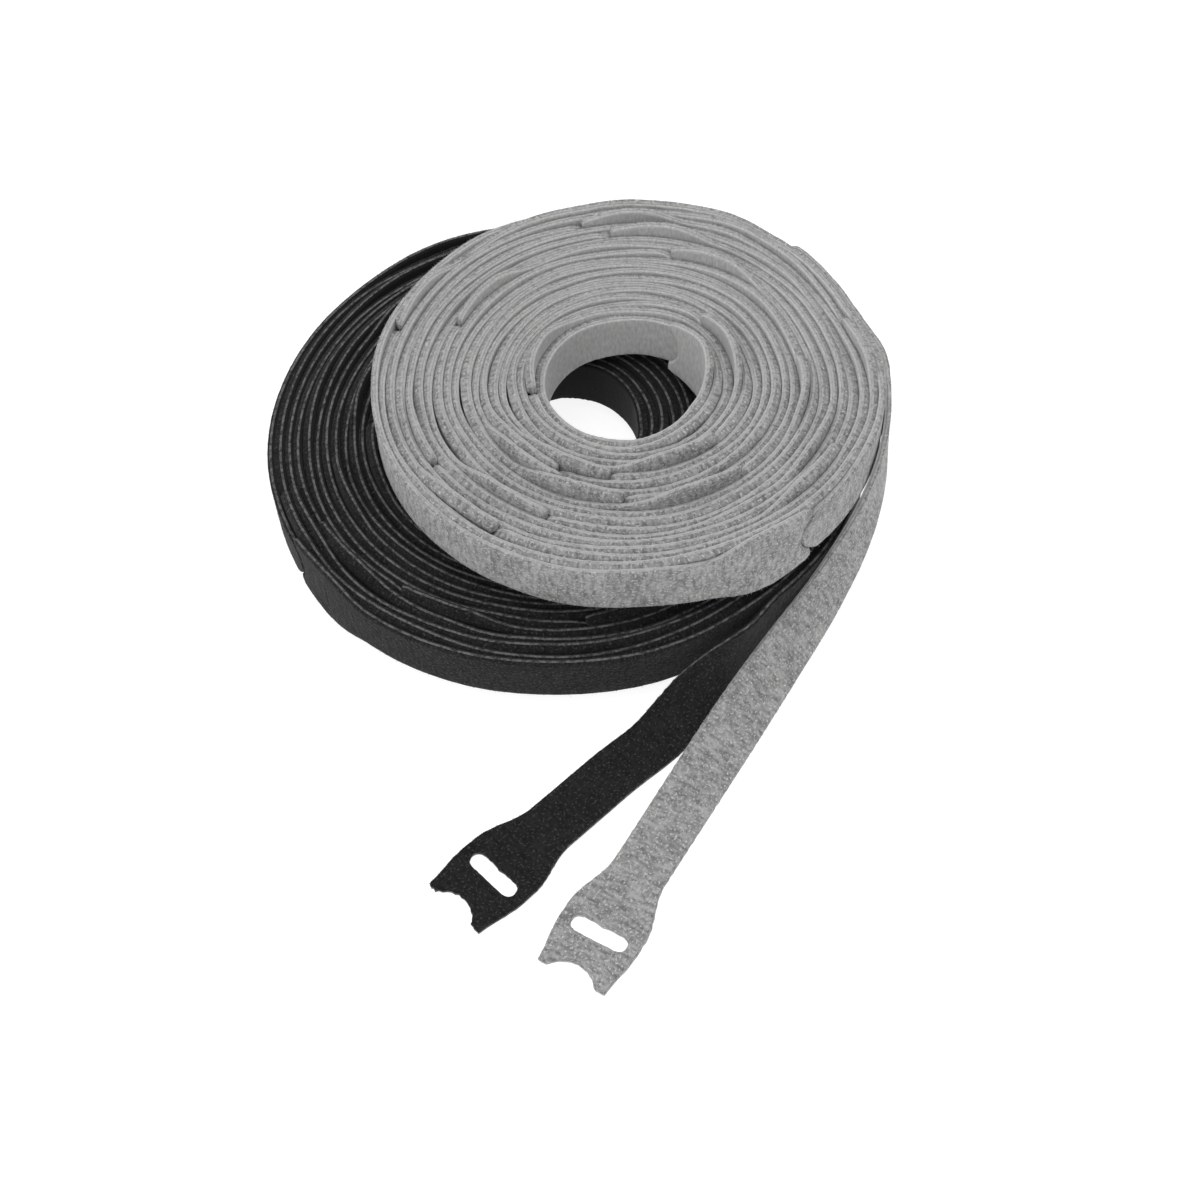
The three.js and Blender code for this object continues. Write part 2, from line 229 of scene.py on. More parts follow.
# %% How far each turn stands from an even spiral
OUTLINE_REACH = 14 * MM  # how deep the rim's outline is felt in the roll
CORE_REACH = 9 * MM
CALM_DEPTH = 8 * MM  # the outer turns follow the outline without shared waves
WAVE_RADIUS = 60 * MM
SHARED_WAVES = ((3, 0.22), (5, 0.15))  # waves in a turn, and height in mm
OWN_WAVES = ((0.63, 0.10), (1.37, 0.12), (2.29, 0.13), (3.41, 0.11), (4.73, 0.08), (6.59, 0.06),
             (9.41, 0.04))
SWOLLEN_TURNS = 4
SWELL_SHARE = 0.6  # each turn swells by this share of the one outside it
SWELL_EASE_SHARE = 0.3
HELD_LOOSENESS = 0.02  # of the tape at the free end, which hardly gives way
LOOSE_ANGLE = 0.9  # in radians from the free end
EASE_ANGLE = 0.3
ROUNDS = 300
ROUND_SHARE = 0.8


def waves(table, angle, phase):
    """The sum of sine waves: height times the sine of the waves in a turn times the angle."""
    return sum(height * np.sin(count * angle + phase[n]) for n, (count, height) in enumerate(table))


def loose_offsets(roll, colour, pitch, leave_radius, inward, phase):
    """The rim's outline fades exponentially inwards and the core's outwards. To them come waves shared by
    all turns, waves of each turn's own, and the grooves."""
    azimuth = roll["leave"] + inward
    radius = leave_radius - pitch * inward / (2 * math.pi)
    depth, from_core = leave_radius - radius, radius - radius.min()
    degrees = np.mod(np.degrees(azimuth), 360)
    outline = np.interp(degrees, *zip(*roll["outline"])) * np.exp(-depth / OUTLINE_REACH)
    outline += np.interp(degrees, *zip(*roll["core_outline"])) * np.exp(-from_core / CORE_REACH)
    shared = waves(SHARED_WAVES, azimuth, phase) * radius / WAVE_RADIUS
    shared = shared * smooth(depth / CALM_DEPTH)
    own = waves(OWN_WAVES, inward, phase[len(SHARED_WAVES):])
    return (outline + shared + own) * MM + grooves(roll, colour, pitch, leave_radius, azimuth, radius)


def spread_turns(out, inward, pitch, empty):
    """Each pair of neighbours closer than the tape is moved apart by most of what is missing, many times
    over. Places near the free run hardly move, and there the offsets fade to nothing."""
    loose = HELD_LOOSENESS + smooth(inward / LOOSE_ANGLE)
    outer, inner = slice(None, -AROUND), slice(AROUND, None)
    for _ in range(ROUNDS):
        space = pitch + out[outer] - out[inner]
        missing = np.where(empty[outer], 0.0, np.maximum(CLOSEST - space, 0.0))
        total = loose[outer] + loose[inner]
        move = np.zeros_like(out)
        move[outer] += missing * loose[outer] / total
        move[inner] -= missing * loose[inner] / total
        out = out + ROUND_SHARE * move
    return out * smooth(inward / EASE_ANGLE)


# %% How far the pile rises between the turns
EMPTY_SPACE = 1.0 * MM  # counted outside a turn where no tape lies
LEAST_AIR = 0.03 * MM
MOST_SPRING = 1.1 * MM
RIM_SPRING = 0.1 * MM


def turn_offsets(roll, colour, pitch, leave_radius, turns, free, inward_at):
    """Offsets and pile springs at equal steps of the inward angle. The offsets are the loose ones plus
    the swell of turns into the space between two tails, spread apart. A spring is the space outside the
    turn less a little air, times a slow wave."""
    inward = 2 * math.pi * np.arange(int(turns * AROUND) + 1) / AROUND
    phase = np.random.default_rng(roll["seed"]).uniform(0, 2 * math.pi, 12)
    out = loose_offsets(roll, colour, pitch, leave_radius, inward, phase)
    empty = np.zeros(len(inward), bool)
    if roll["tail_space"]:
        low, high = (inward_at(TIE_LENGTH + extra - free) for extra in (0.0, roll["tail_space"]))
        empty = (inward > low) & (inward < high)
        for turn in range(SWOLLEN_TURNS):
            share = (inward - 2 * math.pi * (turn + 1) - low) / (high - low)
            swell = roll["swell"] * SWELL_SHARE ** turn * smooth(share / SWELL_EASE_SHARE)
            out += swell * smooth((1 - share) / SWELL_EASE_SHARE)

    out = spread_turns(out, inward, pitch, empty)
    inner = inward[AROUND:]
    space = pitch + out[:-AROUND] - out[AROUND:] - TAPE_THICKNESS
    space = np.where(empty[:-AROUND], EMPTY_SPACE, space)
    uneven = 0.92 + 0.08 * np.sin(2.6 * inner + phase[10]) * np.sin(1.7 * inner)
    spring = np.clip(space - LEAST_AIR, 0.0, MOST_SPRING) * uneven
    print(colour, "turns stand", round(space.min() / MM, 2), "to", round(space.max() / MM, 2), "mm apart")
    return inward, out, np.concatenate([np.full(AROUND, RIM_SPRING), spring])


# %% How the straps wander up and down
TAPE_WAVES = ((173.0, 0.45), (97.0, 0.38), (61.0, 0.24), (39.0, 0.10))  # length and height in mm
LEAN_WAVES = ((2, 0.022), (3, 0.016))  # waves in a turn, and the angle
SETTLE_FROM = 8 * MM  # past the free end
SETTLE_RUN = 60 * MM
HEAD_CALM = 22 * MM  # from the lips, where a strap begins to wander
HEAD_EASE = 26 * MM
TAIL_CALM = 2 * MM
TAIL_EASE = 24 * MM


def wander(roll, place, azimuth, free):
    """Height and lean. The height is a level that changes from core to rim plus a sum of sines of the
    length of tape, and fades out at each head. The lean goes with the azimuth, so that neighbours lean
    together."""
    phase = np.random.default_rng(roll["seed"] + 1).uniform(0, 2 * math.pi, 6)
    x = from_lips(roll, place)
    settle = smooth((place - free - SETTLE_FROM) / SETTLE_RUN)
    strap = smooth((x - HEAD_CALM) / HEAD_EASE) * smooth((TIE_STEP - x - TAIL_CALM) / TAIL_EASE) * settle
    height = np.interp(1 - (place - free) / (place[-1] - free), *zip(*roll["rise"]))
    height += sum(size * np.sin(2 * math.pi * place / (length * MM) + phase[n])
                  for n, (length, size) in enumerate(TAPE_WAVES))
    lean = waves(LEAN_WAVES, azimuth, phase[len(TAPE_WAVES):])
    return strap * height * MM, settle * lean


# %% The path of a roll, from its free lips to its core
CORE_LIFT_RUN = 15 * MM
CORE_LIFT_START = 18 * MM  # from the core end
PATH_ROWS = ("point", "across", "outward")


def between_rows(places, known, rows):
    """Points or directions at some places, in a straight line between the known rows."""
    return np.stack([np.interp(places, known, rows[:, axis]) for axis in range(3)], axis=-1)


def chain_path(colour, roll):
    """A table of the path at equal steps of tape. On the free run it is read from that run. On the roll
    the inward angle a solves: length = r a - pitch a a / (4 pi), with r the leaving radius. The point is
    the middle of the roll plus the radius and offset at that angle, and the tape stands nearly on
    edge."""
    pitch = TAPE_THICKNESS + roll["gap"]
    first = CORE_RADIUS + TAPE_THICKNESS / 2
    total = lips_place(roll, roll["ties"]) + (0.0 if roll["lips_in"] else TIE_LENGTH)
    leave_radius = first
    for _ in range(6):  # the last turn's length depends on the free run's length
        run = free_run(roll, leave_radius)
        free = run["length"][-1]
        leave_radius = math.sqrt(first ** 2 + pitch * (total - free) / math.pi)

    fall = pitch / (2 * math.pi)

    def inward_at(wound):
        return (leave_radius - np.sqrt(leave_radius ** 2 - 2 * fall * np.maximum(wound, 0.0))) / fall

    place = np.linspace(0.0, total, int(total / TABLE_STEP) + 1)
    inward = inward_at(place - free)
    azimuth = roll["leave"] + inward
    radius = leave_radius - fall * inward
    turns = inward[-1] / (2 * math.pi)
    angles, offsets, spring = turn_offsets(roll, colour, pitch, leave_radius, turns, free, inward_at)
    out = np.interp(inward, angles, offsets)
    out -= roll["core_lift"] * smooth((place - total + CORE_LIFT_START) / CORE_LIFT_RUN)
    height, lean = wander(roll, place, azimuth, free)
    ray = np.column_stack([np.cos(azimuth), np.sin(azimuth), np.zeros_like(azimuth)])
    up = np.broadcast_to([0.0, 0.0, 1.0], ray.shape)
    point = ray * (radius + out)[:, None]
    point[:, :2] += roll["middle"]
    point[:, 2] = roll["level"] + HEAD_WIDTH / 2 + height
    table = {"point": point, **turned(up, ray, lean)}
    loose = place < free
    table["spring"] = np.where(loose, 0.0, np.interp(inward, angles, spring))
    for name in PATH_ROWS:
        table[name][loose] = between_rows(free - place[loose], run["length"], run[name])
    table.update(place=place, free=free, total=total, leave_radius=leave_radius, turns=turns)
    return table


PATHS = {colour: chain_path(colour, roll) for colour, roll in ROLLS.items()}
for colour, path in PATHS.items():
    print(colour, "roll:", round(path["turns"], 2), "turns, outer radius",
          round((path["leave_radius"] + TAPE_THICKNESS / 2) / MM, 2), "mm, free end",
          round(path["free"] / MM, 1), "mm")


# %% Reading the path
def along_path(path, place):
    """The point and the two directions at lengths of tape."""
    return [between_rows(place, path["place"], path[name]) for name in PATH_ROWS]


def set_on_path(path, place, across, side):
    """Path point, plus the across direction times one distance, plus the outward direction times
    another."""
    point, wide, out = along_path(path, place)
    return point + unit(wide) * across[..., None] + unit(out) * side[..., None]


# %% [markdown]
# ## The flat pattern of a tie
# A die cuts each tie out of flat tape, so the pattern is made flat too and wound up afterwards. A grid
# of rows and columns covers it. The first rows bend round the notch, some rows split round the slot, and
# the last rows bend round the tail. This keeps even, four-sided faces, which a filled outline wouldn't.
# Only the two free ties have their slot punched out. On the wound ties the plug still sits in its cut,
# which shows as a fine groove at most.

# %% Widths, notch, slot and tail of the flat pattern
HEAD_INNER = (SLOT_LENGTH - SLOT_WIDTH) / 2
STRAP_INNER = 3.4 * MM
SLOT_START = SLOT_FROM_END - SLOT_WIDTH / 2
SLOT_END = SLOT_FROM_END + SLOT_WIDTH / 2


def half_width(x):
    """Half the width at the lips, then half a cosine wave up to the head's width, and after the head
    another one down to the strap's width."""
    rise = (1 - np.cos(math.pi * np.clip(x / TAPER_LENGTH, 0, 1))) / 2
    drop = (1 - np.cos(math.pi * np.clip((x - HEAD_LENGTH) / FLARE_LENGTH, 0, 1))) / 2
    return (LIPS_WIDTH + (HEAD_WIDTH - LIPS_WIDTH) * rise + (STRAP_WIDTH - HEAD_WIDTH) * drop) / 2


def inner_width(x):
    """Where the middle columns begin: at the slot's round ends beside the slot, and closer to the
    middle of the narrow strap."""
    from_slot = np.abs(x - SLOT_FROM_END)
    round_end = np.sqrt(np.maximum((SLOT_WIDTH / 2) ** 2 - from_slot ** 2, 0))
    drop = smooth((x - HEAD_LENGTH) / FLARE_LENGTH)
    return HEAD_INNER + (STRAP_INNER - HEAD_INNER) * drop + round_end


def notch_line(across):
    """The arc of the torn notch, and the flat lips on both sides of it at zero."""
    half_chord = NOTCH_RADIUS * math.sin(TEAR_HALF_ANGLE)
    inside = np.sqrt(np.maximum(NOTCH_RADIUS ** 2 - across ** 2, 0))
    return np.where(np.abs(across) < half_chord, inside - NOTCH_RADIUS * math.cos(TEAR_HALF_ANGLE), 0.0)


def tail_line(across):
    """The half circle of the tail's tip."""
    return TIE_LENGTH - TIP_RADIUS + np.sqrt(np.maximum(TIP_RADIUS ** 2 - across ** 2, 0))


def split(values, parts):
    """Each interval of a list cut into equal parts."""
    values = np.asarray(values, float)
    shares = np.arange(parts) / parts
    inner = values[:-1, None] + np.diff(values)[:, None] * shares
    return np.append(inner.ravel(), values[-1])


# %% The grid of a tie
SIDE_SHARES = [0.0, 0.128, 0.42, 0.821, 1.0]
HIDDEN_SHARES = [0.0, 0.12, 0.312, 0.65, 1.0]
MIDDLE_SHARES = [n / 6 for n in range(7)]
LIPS_ROW_SHARES = [0, 0.16, 0.4, 0.7, 1]
TAIL_ROW_SHARES = [0, 0.2, 0.4, 0.55, 0.7, 0.8, 0.88, 0.95, 1]
BEHIND_NOTCH = 1.2 * MM  # the first straight row of a tie without a slot
BEHIND_SLOT = 0.5 * MM
FLARE_ROW = 1.2 * MM
TAIL_START = TIE_LENGTH - 12 * MM
SAME_ROW = 1e-9


def tie_grid(slot, parts, row_step):
    """Rows are lengths from the lips, columns are shares of the width. In the head's first rows and in
    the tail's last rows the length is a blend between the curved end and a straight row. The slot is
    open, cut or left out. A cut slot keeps its faces, and its outline's points are told apart. A tie
    without a slot is hidden between its neighbours, so a few columns will do."""
    plain = slot == "none"
    if plain:
        side, middle = np.array(HIDDEN_SHARES), np.zeros(0)
    else:
        side, middle = split(SIDE_SHARES, parts), split(MIDDLE_SHARES, parts)[1:-1]

    def row(x):
        half = half_width(x)
        if plain:
            lower = half * (side - 1)
            return np.concatenate([lower, -lower[-2::-1]])
        inner = inner_width(x)
        lower = -half + (half - inner) * side
        return np.concatenate([lower, -inner + 2 * inner * middle, -lower[::-1]])

    first_row = NOTCH_DEPTH + BEHIND_NOTCH if plain else SLOT_START
    rows = []
    for t in split(LIPS_ROW_SHARES, parts)[:-1]:
        head_across = row(first_row * t)
        head_start = notch_line(head_across)
        rows.append((head_start + (first_row - head_start) * t, head_across))
    if not plain:
        for angle in np.linspace(0, math.pi, 8 * parts + 1):
            x = np.float64(SLOT_FROM_END - SLOT_WIDTH / 2 * math.cos(angle))
            rows.append((np.full_like(head_across, x), row(x)))
    after_head = first_row if plain else SLOT_END + BEHIND_SLOT
    flare = np.arange(after_head, HEAD_LENGTH + FLARE_LENGTH, min(FLARE_ROW / parts, row_step))
    strap = np.linspace(HEAD_LENGTH + FLARE_LENGTH, TAIL_START,
                        int((TAIL_START - HEAD_LENGTH - FLARE_LENGTH) / row_step) + 1)
    for x in np.concatenate([flare, strap]):
        rows.append((np.full_like(head_across, x), row(x)))
    tail_across = row(np.float64(TAIL_START))
    tail_end = tail_line(tail_across)
    for t in split(TAIL_ROW_SHARES, parts)[1:]:
        rows.append((TAIL_START + (tail_end - TAIL_START) * t, tail_across))
    x = np.array([r[0] for r in rows])
    across = np.array([r[1] for r in rows])

    # Faces go in every cell but those of an open slot
    count_rows, count_columns = x.shape
    low, left = np.meshgrid(np.arange(count_rows - 1), np.arange(count_columns - 1), indexing="ij")
    first_middle = len(side) - 1
    centre_x = (x[:-1, :-1] + x[1:, 1:]) / 2
    in_slot = ((centre_x > SLOT_START) & (centre_x < SLOT_END)
               & (left >= first_middle) & (left < count_columns - 1 - first_middle)
               & (np.ptp(x, axis=1)[:-1, None] < SAME_ROW)) & (not plain)
    cells = low * count_columns + left
    plug = np.unique(cells[in_slot][:, None] + [0, 1, count_columns, count_columns + 1])
    outside = np.unique(cells[~in_slot][:, None] + [0, 1, count_columns, count_columns + 1])
    outline = np.zeros(x.size, bool)
    outline[np.intersect1d(plug, outside)] = True
    keep = np.ones_like(in_slot) if slot == "cut" else ~in_slot
    a = cells[keep]
    quads = np.stack([a, a + count_columns, a + count_columns + 1, a + 1], axis=1)
    used = np.unique(quads)
    renumber = np.full(x.size, -1)
    renumber[used] = np.arange(len(used))
    return x.ravel()[used], across.ravel()[used], renumber[quads], outline[used]


def rim_of(quads):
    """The directed edges that only one face has, and for each rim point the one before and after."""
    starts = quads.ravel()
    ends = np.roll(quads, -1, axis=1).ravel()
    size = quads.max() + 1
    forward, backward = starts * size + ends, ends * size + starts
    alone = ~np.isin(forward, backward)
    return starts[alone], ends[alone]


sample_quads = tie_grid("open", 1, 2.4 * MM)[2]
print("a tie's pattern has", len(sample_quads), "faces and", len(rim_of(sample_quads)[0]), "rim edges")

# %% [markdown]
# ## From the flat pattern to laminated tape
# The cut edge of the real tape shows its layers: a web in the middle, loop pile outside and hooks
# inside, both set back a little. A plain extrusion would hide them. So the rim gets its own rings of
# points, which step out to the web's edge and back, and an attribute marks the web for the material.
# The material makes the web pale, partly its own tone and partly painted highlight along each edge.

# %% Layers of the tape
PILE_TOP = TAPE_THICKNESS / 2
HOOK_TOP = -TAPE_THICKNESS / 2
WEB_TOP = 0.30 * MM
WEB_BOTTOM = -0.22 * MM
WEB_CHAMFER = 0.06 * MM
WEB_SETBACK = 0.10 * MM
PILE_SETBACK = 0.28 * MM
SETBACK_WAVER_SHARE = 0.6
PILE_DROP = 0.06 * MM  # how much lower the pile and the hooks end at the rim
HOOK_DROP = 0.05 * MM
RIM_SPRING_SHARE = 0.2
RIM_WAVER = 0.1 * MM
RIM_WAVE = 1.5 * MM
PUFF = 0.06 * MM
PUFF_WAVE = 4 * MM
KERF_DEPTH = 0.14 * MM

# Rings round the rim between pile and hooks: how far they are set in, their height, their share of web
WEB_RINGS = [(WEB_SETBACK, WEB_TOP + WEB_CHAMFER, 0.0), (0.0, WEB_TOP, 1.0), (0.0, WEB_BOTTOM, 1.0),
             (WEB_SETBACK, WEB_BOTTOM - WEB_CHAMFER, 0.0)]


def noise_along(x, y, seed, size):
    """A soft bumpy field: six sine waves with random directions, about one size long each."""
    rng = np.random.default_rng(seed)
    field = np.zeros_like(x)
    for _ in range(6):
        angle, phase, stretch = rng.uniform(0, math.pi), rng.uniform(0, 2 * math.pi), rng.uniform(0.6, 1.5)
        field += np.sin(2 * math.pi * stretch / size * (x * math.cos(angle) + y * math.sin(angle)) + phase)
    return field / 6


def rim_normals(x, across, starts, ends):
    """The rim's points, and for each the mean of its two edges' outward normals."""
    edge = np.stack([x[ends] - x[starts], across[ends] - across[starts]], axis=1)
    outwards = unit(np.stack([edge[:, 1], -edge[:, 0]], axis=1))
    normal = np.zeros((len(x), 2))
    np.add.at(normal, starts, outwards)
    np.add.at(normal, ends, outwards)
    rim = np.unique(starts)
    normal[rim] = unit(normal[rim])
    return rim, normal


# %% The uneven cut
WORN_LENGTH = 1.4 * MM
CUT_WAVE = 1.9 * MM
TORN_WAVE = 1.7 * MM
TORN_REACH = 1.05 * NOTCH_DEPTH
BUMP_HEIGHT = 0.32 * MM  # a bump in the middle of the slot's inner edge
BUMP_WIDTH = 0.9 * MM
BUMP_REACH = 0.02 * MM


def uneven_outline(x, across, normal, on_rim, seed, cut_waver, torn_waver, worn):
    """The die leaves a slightly uneven line, and tearing frays the notch and lips. The lips narrow by
    their worn share, then each rim point moves along its normal by a soft noise."""
    across = across * (1 - worn * (1 - smooth(x / WORN_LENGTH)))
    torn = on_rim & (x < TORN_REACH) & (normal[:, 0] < -0.3)
    jitter = cut_waver * noise_along(x, across, seed, CUT_WAVE)
    jitter = jitter + np.where(torn, torn_waver * noise_along(x, across, seed + 1, TORN_WAVE), 0.0)
    inner_edge = on_rim & (np.abs(x - SLOT_END) < BUMP_REACH) & (np.abs(across) < HEAD_INNER)
    bump = BUMP_HEIGHT * np.exp(-(across / BUMP_WIDTH) ** 2)
    jitter = jitter + np.where(inner_edge, bump, 0.0)
    return x + normal[:, 0] * jitter * on_rim, across + normal[:, 1] * jitter * on_rim


# %% One tie as a closed surface
def place_layer(path, lips, direction, x, across, normal, inset, side):
    """Pattern points moved inwards along their normals and set on the path at a height. With them comes
    their place on the flat pattern, where the rim is unfolded outwards."""
    flat = np.stack([x, across], axis=1) + normal * (PILE_TOP - side)[:, None]
    points = set_on_path(path, lips + direction * (x - normal[:, 0] * inset),
                         direction * (across - normal[:, 1] * inset), side)
    return points, flat * direction + np.array([lips, 0.0])


def rim_walls(count, rim, starts, ends):
    """Strips of faces round the rim, from the top down over the rings to the bottom."""
    index = np.full(count, -1)
    index[rim] = np.arange(len(rim))

    def rungs(points):
        rings = [2 * count + n * len(rim) + index[points] for n in range(len(WEB_RINGS))]
        return [points, *rings, count + points]

    near, far = rungs(starts), rungs(ends)
    return [np.stack([near[n], near[n + 1], far[n + 1], far[n]], axis=1) for n in range(len(near) - 1)]


def laminate(path, lips, direction, grid, seed, cut_waver, torn_waver, worn):
    """Top points lie at the pile's height and bottom points at the hooks'. Between the top and the bottom
    rim lie the web's rings. The direction is 1 where the tie runs inwards from its lips and -1 where it
    runs outwards. The pile rises by the path's spring. Both wavers say how uneven the cut and torn edges
    are, and worn is the share by which the lips have frayed away."""
    x, across, quads, outline = grid
    starts, ends = rim_of(quads)
    rim, normal = rim_normals(x, across, starts, ends)
    count = len(x)
    on_rim = np.zeros(count, bool)
    on_rim[rim] = True
    x, across = uneven_outline(x, across, normal, on_rim, seed, cut_waver, torn_waver, worn)

    spring = np.interp(lips + direction * x, path["place"], path["spring"])
    uneven = noise_along(x, across, seed + 3, RIM_WAVE)
    inset = np.where(on_rim, PILE_SETBACK * (1 + SETBACK_WAVER_SHARE * uneven), 0.0)
    puff = PUFF * noise_along(x, across, seed + 2, PUFF_WAVE) + spring
    puff = puff - np.where(outline, KERF_DEPTH, 0.0)
    rim_top = PILE_TOP - PILE_DROP + RIM_SPRING_SHARE * spring + RIM_WAVER * uneven
    top = np.where(on_rim, rim_top, PILE_TOP + puff)
    bottom = np.where(on_rim, HOOK_TOP + HOOK_DROP, HOOK_TOP)
    bottom = bottom + np.where(outline & ~on_rim, KERF_DEPTH, 0.0)

    layers = [place_layer(path, lips, direction, x, across, normal, inset, side) for side in (top, bottom)]
    size = len(rim)
    for ring_inset, side, _ in WEB_RINGS:
        layers.append(place_layer(path, lips, direction, x[rim], across[rim], normal[rim],
                                  np.full(size, ring_inset), np.full(size, side)))
    points, flat = (np.concatenate(kind) for kind in zip(*layers))
    faces = np.concatenate([quads, quads[:, ::-1] + count, *rim_walls(count, rim, starts, ends)])
    web = np.concatenate([np.zeros(2 * count), *(np.full(size, share) for _, _, share in WEB_RINGS)])
    hooks = np.concatenate([np.zeros(count), np.ones(count), np.zeros(3 * size), np.ones(size)])
    return {"points": points, "quads": faces, "web": web, "hooks": hooks,
            "hair": np.zeros(len(points)), "flat": flat}


# %% [markdown]
# ## Loose fibres of the pile
# Close up, the loop side is a fuzz of broken and pulled loops, which softens every outline. Blender's
# hair would not reach the exported model, so each fibre is a thin three-sided spike. They stand all over
# the loop side where it shows, along the edges of all turns, and as frayed threads at the torn notch.

# %% Fibres as small closed spikes
SHORTEST_SHARE = 0.35  # of the longest fibre
SPIKE_FACES = ((0, 1, 3), (1, 2, 3), (2, 0, 3), (2, 1, 0))
SPIKE_MASK = [0.4, 0.4, 0.4, 1.0]  # paler towards the tip


def fibres(path, place, across, side, aim, seed, length, thickness, spread):
    """Each fibre has three points at its foot and one at its tip, so it has four faces. It points along
    its aim, given along the tape, across it and outwards, plus a random vector."""
    rng = np.random.default_rng(seed)
    count = len(place)
    foot, wide, out = along_path(path, place)
    wide, out = unit(wide), unit(out)
    along = np.cross(wide, out)
    foot = foot + wide * across[:, None] + out * side[:, None]
    aim = along * aim[0] + wide * aim[1] + out * aim[2]
    aim = unit(unit(aim) + rng.normal(0, spread, (count, 3)))
    tip = foot + aim * (length * rng.uniform(SHORTEST_SHARE, 1.0, count))[:, None]
    one = unit(np.cross(aim, rng.normal(size=(count, 3))))
    two = np.cross(aim, one)
    ring = [foot + thickness * (one * math.cos(a) + two * math.sin(a))
            for a in (0, 2 * math.pi / 3, 4 * math.pi / 3)]
    base = 4 * np.arange(count)[:, None]
    tris = np.concatenate([base + np.array([face]) for face in SPIKE_FACES])
    return {"points": np.stack([*ring, tip], axis=1).reshape(-1, 3), "quads": np.zeros((0, 4), int),
            "tris": tris, "hair": np.tile(SPIKE_MASK, count), "web": np.zeros(4 * count),
            "hooks": np.zeros(4 * count), "flat": np.repeat(np.stack([place, across], axis=1), 4, axis=0)}


def on_pattern(x, across, margin):
    """True where a point lies on the pattern, at least a margin from its outline and its slot."""
    inside = (np.abs(across) < half_width(x) - margin) & (x > notch_line(across) + margin)
    inside &= x < tail_line(np.clip(across, -TIP_RADIUS, TIP_RADIUS)) - margin
    beside = np.abs(across) < SLOT_LENGTH / 2 + margin
    return inside & ~((np.abs(x - SLOT_FROM_END) < SLOT_WIDTH / 2 + margin) & beside)


# %% Where the fibres stand
ROOT_DEPTH = 0.1 * MM  # a foot's depth in the pile
FACE_MARGIN = 0.2 * MM
EDGE_MARGIN = 0.1 * MM
EDGE_BAND = 0.2 * MM
EDGE_SETBACK = 0.12 * MM


def face_fibres(path, lips, direction, seed, density, length, thickness):
    """Random places over the whole loop side, with a number of fibres for each square millimetre."""
    rng = np.random.default_rng(seed)
    count = int(density * TIE_LENGTH * HEAD_WIDTH / MM ** 2)
    x = rng.uniform(0, TIE_LENGTH, count)
    across = rng.uniform(-HEAD_WIDTH / 2, HEAD_WIDTH / 2, count)
    keep = on_pattern(x, across, FACE_MARGIN)
    x, across = x[keep], across[keep]
    place = lips + direction * x
    side = PILE_TOP - ROOT_DEPTH + np.interp(place, path["place"], path["spring"])
    return fibres(path, place, direction * across, side, (0, 0, 1), seed + 1, length, thickness, 0.6)


def edge_fibres(path, lips, direction, seed, per_mm, length, thickness, upper_share):
    """Random places along the upper edge, and fewer along the lower one. They start between pile and web
    and point away from the tape's middle and outwards."""
    rng = np.random.default_rng(seed)
    count = int(per_mm * TIE_LENGTH / MM)
    x = rng.uniform(0, TIE_LENGTH, count)
    sign = np.where(rng.uniform(size=count) < upper_share, 1, -1)
    across = direction * sign * (half_width(x) - rng.exponential(EDGE_BAND, count) - EDGE_SETBACK)
    keep = on_pattern(x, across, EDGE_MARGIN)
    x, across, sign = x[keep], across[keep], sign[keep]
    place = lips + direction * x
    spring = np.interp(place, path["place"], path["spring"])
    side = rng.uniform(-ROOT_DEPTH, PILE_TOP + 0.75 * spring - EDGE_SETBACK, len(x))
    aim = (0, 0.8 * sign[:, None], 0.6)
    return fibres(path, place, direction * across, side, aim, seed + 1, length, thickness, 0.5)


def torn_fibres(path, lips, direction, seed, count, length, thickness):
    """Frayed threads along the notch and the lips. They start inside the web and point off the end."""
    rng = np.random.default_rng(seed)
    across = rng.uniform(-0.96, 0.96, count) * LIPS_WIDTH / 2
    x = notch_line(across) + 2 * ROOT_DEPTH
    side = rng.uniform(WEB_BOTTOM, PILE_TOP - 2 * ROOT_DEPTH, count)
    aim = (1, 0, 0.2)
    place = lips + direction * x
    return fibres(path, place, direction * across, side, aim, seed + 1, length, thickness, 0.45)


# %% [markdown]
# ## Putting the arrays into meshes
# Python loops over half a million points are slow. Blender takes whole arrays through foreach_set, with
# the corners of all faces in one list and the place where each face starts in another.

# %% One mesh from several arrays
UV_UNIT = 10 * MM
MASKS = ("web", "hooks", "hair")


def add_object(name, data):
    """A new object in the scene, at the origin."""
    thing = bpy.data.objects.new(name, data)
    bpy.context.scene.collection.objects.link(thing)
    return thing


def join(parts):
    """The arrays of several parts one after another, with their face numbers moved along."""
    shift, quads, tris = 0, [], []
    for part in parts:
        quads.append(part["quads"] + shift)
        if "tris" in part:
            tris.append(part["tris"] + shift)
        shift += len(part["points"])
    whole = {name: np.concatenate([part[name] for part in parts])
             for name in ("points", "flat", *MASKS)}
    whole["quads"] = np.concatenate(quads)
    whole["tris"] = np.concatenate(tris) if tris else np.zeros((0, 3), int)
    return whole


